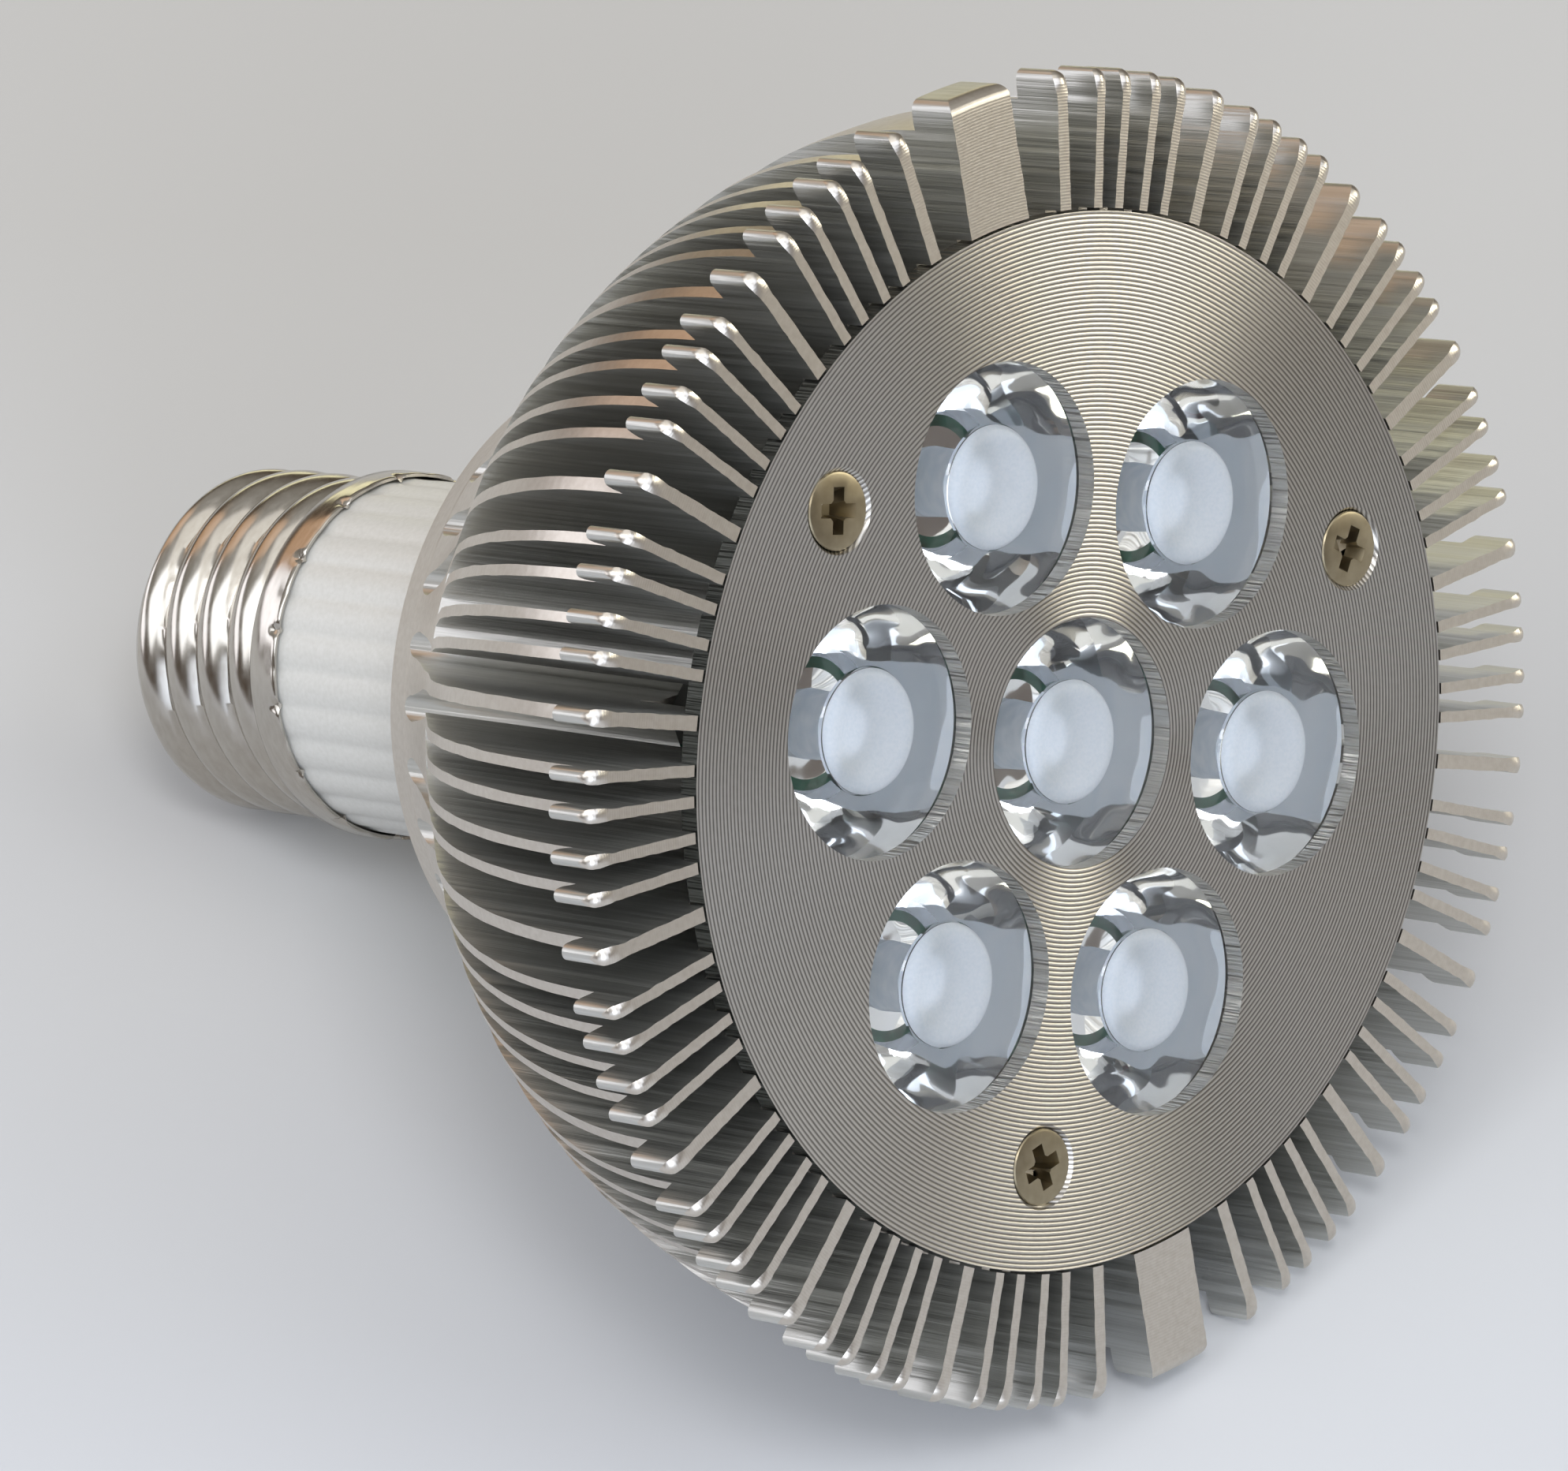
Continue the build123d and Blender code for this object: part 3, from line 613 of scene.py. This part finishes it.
def sinkLow(r):
    if r >= curveTop[0]:
        return curveTop[1]
    if r >= coneTop[0]:
        return curveTop[1] - math.sqrt(sink["curve"] ** 2 - (r - curveTop[0] + sink["curve"]) ** 2)
    if r >= sink["flareStart"]:
        return coneTop[1] - (coneTop[0] - r) / math.tan(leanTurn)
    slope = math.acos(math.cos(leanTurn) + (sink["flareStart"] - r) / sink["flare"])
    return flareTop - sink["flare"] * (math.sin(leanTurn) - math.sin(slope))


def finStrip(name, halfWidths, inner, outer, across, seed):
    # a flat grid pulled to a bar, then its columns are set along the fin: width, die ripple, top and turned edge
    stations = [r for r, half in halfWidths] + [r for r in sink["footSteps"] if inner < r < outer]
    r = max(inner, sink["gridStart"])
    while r < min(outer, sink["rippleEnd"]):
        stations.append(r)
        r += sink["gap"]
    for r in (sink["pocket"], sink["ledge"]):
        stations += [r - 0.001, r + 0.001]
    stations += [curveTop[0], *(sink["rim"] - sink["nose"] * share for share in (1.0, 0.9, 0.8, 0.7))]
    stations = sorted(set(round(r, 4) for r in stations if inner <= r <= outer))
    deselectAll()
    bpy.ops.mesh.primitive_grid_add(x_subdivisions=len(stations) - 1, y_subdivisions=across, size=1.0)
    piece = bpy.context.active_object
    piece.name = name
    bpy.ops.object.mode_set(mode="EDIT")
    bpy.ops.mesh.select_all(action="SELECT")
    bpy.ops.mesh.extrude_region_move(TRANSFORM_OT_translate={"value": (0, 0, -1)})
    bpy.ops.mesh.select_all(action="SELECT")
    bpy.ops.mesh.normals_make_consistent(inside=False)
    bpy.ops.object.mode_set(mode="OBJECT")
    lowCorners = {vertex.index for vertex in piece.data.vertices if vertex.co.z < -0.5}
    piece.data.materials.append(drawnAluminium)
    piece.data.materials.append(turnedAluminium)
    for face in piece.data.polygons:
        lows = len(lowCorners.intersection(face.vertices))
        face.material_index = 1 if lows in (0, len(face.vertices)) else 0
    for vertex in piece.data.vertices:
        r = stations[round((vertex.co.x + 0.5) * (len(stations) - 1))]
        half = between(halfWidths, r)
        if sink["rippleStart"] < r < sink["rippleEnd"]:
            side = 5.3 if vertex.co.y > 0 else -5.3
            half += sink["ripple"] * noise.noise(Vector((r / sink["ripplePitch"], seed * 3.7, side)))
        y = 2 * vertex.co.y * half
        low = sinkLow(r) if r >= sink["hub"] else sinkLow(sink["hub"]) + sink["hub"] - r
        top = sinkTop(r)
        if half < 1:
            onset = min(1.0, max(0.0, (r - sink["beadStart"]) / sink["beadRun"]))
            top -= sink["bead"] * onset * abs(2 * vertex.co.y) ** 2.5
        vertex.co = (math.sqrt(r * r - y * y) * mm, y * mm, (low if vertex.index in lowCorners else top) * mm)
    return piece


def tipRound(half, corner):
    # the fin's outer end as the die leaves it: its corners are round
    places = [(sink["rim"] - corner, half)]
    for degrees in (15, 30, 45, 57, 68, 78, 90):
        turn = math.radians(degrees)
        width = max(half - corner + corner * math.cos(turn), 0.03)
        places.append((sink["rim"] - corner + corner * math.sin(turn), width))
    return places


# The stem's foot spreads round into the hub, so each channel has a round bottom
footIn = sink["hub"] - sink["footDepth"]
footSine = math.sin(math.radians(sink["footAngle"]))
rootRound = [(footIn, footIn * footSine)]
for degrees in (0, 8, 16, 24, 33, 42, 52, 63, 75, 90):
    turn = math.radians(degrees)
    r = sink["hub"] + sink["channel"] * (1 - math.cos(turn))
    rootRound.append((r, r * footSine - sink["channel"] * math.sin(turn)))
thickWidths = [*rootRound, *sink["thickWidths"], *tipRound(sink["thickHalf"], sink["thickHalf"])]
blockWidths = [*rootRound, (sink["stemEnd"], sink["blockHalf"]), *tipRound(sink["blockHalf"], sink["blockCorner"])]
stemWidths = [*rootRound, (sink["stemEnd"], sink["stemHalf"])]
thinWidths = [*sink["thinWidths"], *tipRound(sink["thinHalf"], sink["thinHalf"])]
thickFin = finStrip("thickFin", thickWidths, footIn, sink["rim"], 4, 1)
blockFin = finStrip("blockFin", blockWidths, footIn, sink["rim"], 6, 2)
crownStem = finStrip("crownStem", stemWidths, footIn, sink["stemEnd"], 6, 3)
thinFins = []
for number, angle in enumerate(sink["thinAngles"]):
    blade = finStrip("thinFin", thinWidths, thinWidths[0][0], sink["rim"], 4, 10 + number)
    blade.data.transform(Matrix.Rotation(math.radians(angle), 4, "Z"))
    thinFins.append(blade)
crownFin = joinAll([crownStem, *thinFins])

sectorAngle = 360 / sink["sectors"]
allFins = []
for sector in range(sink["sectors"]):
    allFins.append(turnedCopy(thickFin, sector * sectorAngle))
    middle = (sector + 0.5) * sectorAngle
    allFins.append(turnedCopy(blockFin if sector in sink["blockSectors"] else crownFin, middle))
for master in (thickFin, blockFin, crownFin):
    bpy.data.objects.remove(master)
outline = [(1.0, sink["boreEnd"]), (sink["bore"], sink["boreEnd"]), (sink["bore"], sink["rear"]),
           (rearEdge - sink["rearChamfer"], sink["rear"])]
for step in range(9):
    r = rearEdge + 0.06 + (sink["hub"] - rearEdge - 0.06) * step / 8
    outline.append((r, sinkLow(r)))
outline += [(sink["hub"], sink["floor"]), (1.0, sink["floor"])]
hub = turnedShell("hub", outline, 144)
hub.data.materials.append(turnedAluminium)
heatSink = joinAll([*allFins, hub])
finishPiece(heatSink, "heatSink", ["heat_sink"], None)


# Lenses: a clear collimator with an etched, slightly dished boss in the middle and a milky LED pocket
lens = {
    "front": 95.5, "base": 85.1, "rim": 9.9, "rimHeight": 1.2, "neckIn": 9.3, "foot": 4.7,
    "boss": 4.4, "bossRise": 0.7, "crest": 3.5, "dish": 0.4, "fillet": 0.12,
    "dishSteps": (0.3, 1.0, 1.8, 2.5, 3.1), "edge": ((4.0, 0.06), (4.25, 0.2), (4.4, 0.45)),
    "pocket": 2.5, "pocketTop": 2.3, "roof": 91.2, "roofDip": 0.6, "clearShare": 0.11, "window": 3.9,
    "ring": 20.14, "count": 7, "curveSteps": 16, "segments": 96,
}
bossTop = lens["front"] + lens["bossRise"]
outline = [(r, bossTop - lens["dish"] * (1 - (r / lens["crest"]) ** 2))
           for r in (*lens["dishSteps"], lens["crest"])]
outline += [(r, bossTop - drop) for r, drop in lens["edge"]]
wallTop = lens["front"] - lens["rimHeight"]
outline += [(lens["boss"], lens["front"] + lens["fillet"]), (lens["boss"] + lens["fillet"], lens["front"]),
            (lens["rim"], lens["front"]), (lens["rim"], wallTop), (lens["neckIn"], wallTop)]
for step in range(1, lens["curveSteps"] + 1):
    share = 1 - step / lens["curveSteps"]
    outline.append((math.sqrt(lens["foot"] ** 2 + (lens["neckIn"] ** 2 - lens["foot"] ** 2) * share),
                    lens["base"] + (wallTop - lens["base"]) * share))
outline += [(lens["window"], lens["base"]), (lens["pocket"], lens["base"]), (lens["pocketTop"], lens["roof"])]
for step in range(1, 6):
    r = lens["pocketTop"] * (1 - step / 5.4)
    outline.append((r, lens["roof"] - lens["roofDip"] * (1 - (r / lens["pocketTop"]) ** 2)))
lensMaster = turnedShell("lensMaster", outline, lens["segments"])
lensMaster.data.materials.append(clearAcrylic)
lensMaster.data.materials.append(frostedAcrylic)
lensMaster.data.materials.append(mirrorWall)
lensMaster.data.materials.append(milkyAcrylic)
mirrorFoot = lens["base"] + lens["clearShare"] * (wallTop - lens["base"])
for face in lensMaster.data.polygons:
    radius = math.hypot(face.center.x, face.center.y) / mm
    high = face.center.z / mm
    top = high > lens["front"] + 0.25 and radius < lens["boss"] - 0.03
    pocket = radius < lens["pocket"] and lens["base"] + 0.1 < high < lens["roof"] + 0.1
    wall = radius > lens["foot"] and mirrorFoot < high < wallTop - 0.05
    wall = wall or high < lens["base"] + 0.01 and lens["pocket"] < radius < lens["window"]
    face.material_index = 1 if top else 3 if pocket else 2 if wall else 0
for number in range(lens["count"]):
    piece = lensMaster.copy()
    piece.data = lensMaster.data.copy()
    if number:
        turn = math.radians(60 * (number - 1))
        piece.data.transform(Matrix.Translation(Vector((math.cos(turn), math.sin(turn), 0)) * lens["ring"] * mm))
    bpy.context.scene.collection.objects.link(piece)
    finishPiece(piece, f"lens{number + 1}", [f"lens_{number + 1}"], None)
bpy.data.objects.remove(lensMaster)


# Plate screws: countersunk M3 heads with a tapered cross recess, each left at the turn it was driven to
screw = {
    "face": 96.92, "bevel": ((2.5, 0.0), (2.68, 0.04), (2.76, 0.14)), "shank": 1.5, "coneLow": 95.6, "tip": 78.0,
    "pitch": 0.5, "threadDepth": 0.3, "threadTop": 94.8, "circle": 30.08, "segments": 40,
    "arm": 3.5, "armWidth": 1.05, "recess": 1.9, "armTaper": (0.55, 0.75), "core": 0.95, "coreFoot": 0.4,
    "softEdge": 0.06,
    "driven": ((30, -15, 0.8), (150, 4, -1.3), (270, 28, 0.4)),     # round the plate, turn of the cross, lean
}
outline = [(0.3, screw["face"])] + [(r, screw["face"] - drop) for r, drop in screw["bevel"]]
outline += [(screw["shank"], screw["coneLow"]), (screw["shank"], screw["threadTop"])]
high = screw["threadTop"]
while high > screw["tip"] + 0.5:
    outline.append((screw["shank"] - screw["threadDepth"] / 2, high))
    high -= screw["pitch"] / 5
outline += [(screw["shank"] - 0.4, screw["tip"] + 0.4), (0.9, screw["tip"]), (0.3, screw["tip"])]
screwMaster = turnedShell("screwMaster", outline, screw["segments"])
for vertex in screwMaster.data.vertices:
    radius = math.hypot(vertex.co.x, vertex.co.y) / mm
    if abs(radius - screw["shank"] + screw["threadDepth"] / 2) < 0.01:
        turns = vertex.co.z / mm / screw["pitch"] - math.atan2(vertex.co.y, vertex.co.x) / (2 * math.pi)
        scale = 1 + screw["threadDepth"] / 2 * math.cos(2 * math.pi * turns) / radius
        vertex.co.x *= scale
        vertex.co.y *= scale
recessTop, recessLow = screw["face"] + 0.3, screw["face"] - screw["recess"]
cutters = [turnedShell("recessCore", [(screw["coreFoot"], recessLow), (screw["core"], recessTop)], 24)]
for across in (0, 90):
    deselectAll()
    bpy.ops.mesh.primitive_cube_add(size=mm, location=(0, 0, (recessTop + recessLow) / 2 * mm))
    bpy.ops.transform.resize(value=(screw["arm"], screw["armWidth"], recessTop - recessLow))
    arm = bpy.context.active_object
    bpy.ops.object.transform_apply(location=True, rotation=True, scale=True)
    pick(arm, lambda co: co.z < screw["face"] * mm)
    bpy.ops.transform.resize(value=(*screw["armTaper"], 1), center_override=(0, 0, recessLow * mm))
    bpy.ops.object.mode_set(mode="OBJECT")
    arm.data.transform(Matrix.Rotation(math.radians(across), 4, "Z"))
    cutters.append(arm)
for cutter in cutters:
    cut = screwMaster.modifiers.new("recess", "BOOLEAN")
    cut.object = cutter
    cut.operation = "DIFFERENCE"
    cut.solver = "EXACT"
    applyModifiers(screwMaster)
    bpy.data.objects.remove(cutter)
soft = screwMaster.modifiers.new("softEdge", "BEVEL")
soft.width = screw["softEdge"] * mm
soft.segments = 2
soft.limit_method = "ANGLE"
soft.angle_limit = math.radians(50)
applyModifiers(screwMaster)
plateScrews = []
for angle, turn, lean in screw["driven"]:
    piece = turnedCopy(screwMaster, turn)
    headMiddle = Vector((0, 0, screw["face"] * mm))
    leaned = Matrix.Rotation(math.radians(lean), 4, "X")
    piece.data.transform(Matrix.Translation(headMiddle) @ leaned @ Matrix.Translation(-headMiddle))
    around = math.radians(angle)
    piece.data.transform(Matrix.Translation(Vector((math.cos(around), math.sin(around), 0)) * screw["circle"] * mm))
    plateScrews.append(piece)
bpy.data.objects.remove(screwMaster)
finishPiece(joinAll(plateScrews), "plateScrews", ["plate_screws"], [nickelPlate], 35)


# Neck: white moulding with flutes down its sides and a plain collar against the heat sink
neck = {
    "plugTop": 77.35, "radius": 13.5, "collar": 14.0, "collarTop": 50.7, "collarLow": 47.7,
    "end": 24.1, "spigot": 11.7, "spigotEnd": 13.1, "inner": 10.6, "flutes": 30, "fluteDepth": 0.24, "across": 10,
    "fluteTop": 0.3, "fluteFade": 1.1, "fluteLow": 26.0, "lowRing": 27.0,
}
neckPiece = turnedShell("neckHousing", [
    (neck["inner"], neck["plugTop"]), (neck["radius"], neck["plugTop"]), (neck["radius"], neck["collarTop"]),
    (neck["collar"] - 0.15, neck["collarTop"]), (neck["collar"], neck["collarTop"] - 0.15),
    (neck["collar"], neck["collarLow"] + 0.25), (neck["collar"] - 0.2, neck["collarLow"]),
    (neck["radius"], neck["collarLow"] - 0.15), (neck["radius"], neck["collarLow"] - 0.5),
    (neck["radius"], neck["collarLow"] - 1.0), (neck["radius"], neck["collarLow"] - 1.5),
    (neck["radius"], neck["lowRing"]), (neck["radius"], neck["end"]), (neck["spigot"], neck["end"]),
    (neck["spigot"], neck["spigotEnd"]), (neck["inner"], neck["spigotEnd"])],
    neck["flutes"] * neck["across"], closed=True)
for vertex in neckPiece.data.vertices:
    radius = math.hypot(vertex.co.x, vertex.co.y) / mm
    high = vertex.co.z / mm
    if abs(radius - neck["radius"]) < 0.02 and neck["fluteLow"] < high < neck["collarLow"] - neck["fluteTop"]:
        angle = math.atan2(vertex.co.y, vertex.co.x)
        groove = 1 - abs(math.cos(angle * neck["flutes"] / 2))
        fade = min(1.0, (neck["collarLow"] - neck["fluteTop"] - high) / neck["fluteFade"])
        scale = 1 - neck["fluteDepth"] * groove * fade / radius
        vertex.co.x *= scale
        vertex.co.y *= scale
finishPiece(neckPiece, "neckHousing", ["neck_housing"], [mouldedAbs], 40)


# Screw cap: rolled sheet with a right-hand round thread and crimp marks at its skirt
cap = {
    "skirt": 14.0, "skirtTop": 26.4, "skirtLow": 23.6, "middle": 12.7, "depth": 1.0, "roundness": 0.8, "pitch": 3.63,
    "crestAt": (174.64, 9.9), "threadTop": 23.0, "threadLow": 9.2, "lip": 8.5, "lipHeight": 6.4, "inside": 11.85,
    "sheet": 0.35, "crimps": 15, "crimpDepth": 0.45, "press": 0.1, "segments": 300, "rise": 0.3,
    "crimpShare": 0.08, "crimpReach": 1.5, "crimpSteps": (0.4, 0.6, 0.8, 1.0, 1.2, 1.4, 1.7),
    "shoulder": ((12.6, 9.0), (12.3, 8.55), (11.6, 8.0), (10.4, 7.3), (9.2, 6.7)),
    "shoulderIn": ((10.3, 7.65), (11.4, 8.3), (11.85, 9.0)),
}
outline = [(cap["skirt"] - 0.3, cap["skirtTop"] - 0.02), (cap["skirt"] - 0.08, cap["skirtTop"]),
           (cap["skirt"], cap["skirtTop"] - 0.12)]
for drop in cap["crimpSteps"]:
    outline.append((cap["skirt"], cap["skirtTop"] - drop))
outline += [(cap["skirt"], cap["skirtLow"] + 0.2), (cap["skirt"] - 0.1, cap["skirtLow"]),
            (cap["skirt"] - 0.5, cap["skirtLow"] - 0.3)]
high = cap["threadTop"]
while high > cap["threadLow"]:
    outline.append((cap["middle"], high))
    high -= cap["rise"]
outline += [*cap["shoulder"], (cap["lip"], cap["lipHeight"]), (cap["lip"], cap["lipHeight"] + cap["sheet"]),
            *cap["shoulderIn"], (cap["inside"], cap["threadTop"]),
            (cap["skirt"] - 0.35, cap["skirtLow"] + 0.3), (cap["skirt"] - 0.35, cap["skirtTop"] - 0.1)]
capPiece = turnedShell("capShell", outline, cap["segments"], closed=True)
for vertex in capPiece.data.vertices:
    radius = math.hypot(vertex.co.x, vertex.co.y) / mm
    high = vertex.co.z / mm
    angle = math.degrees(math.atan2(vertex.co.y, vertex.co.x))
    wanted = radius
    if abs(radius - cap["middle"]) < 0.01:
        turns = (high - cap["crestAt"][1]) / cap["pitch"] - (angle - cap["crestAt"][0]) / 360
        fade = min(1.0, max(0.0, cap["threadTop"] + 0.2 - high), max(0.0, high - cap["threadLow"] + 0.5))
        wanted = cap["middle"] + cap["depth"] * (abs(math.cos(math.pi * turns)) ** cap["roundness"] - 0.5) * fade
    elif radius > cap["skirt"] - 0.1 and high > cap["skirtTop"] - cap["crimpReach"]:
        valley = 1 - abs(math.cos(math.radians(angle) * neck["flutes"] / 2))
        crimp = math.cos(math.radians(angle - 180 / neck["flutes"]) * cap["crimps"])
        pit = max(0.0, crimp - (1 - cap["crimpShare"])) / cap["crimpShare"]
        along = max(0.0, 1 - (cap["skirtTop"] - high))
        wanted = radius - (cap["press"] * valley + cap["crimpDepth"] * pit) * along
    vertex.co.x *= wanted / radius
    vertex.co.y *= wanted / radius
finishPiece(capPiece, "capShell", ["cap_shell"], [capNickel], 40)


low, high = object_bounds()
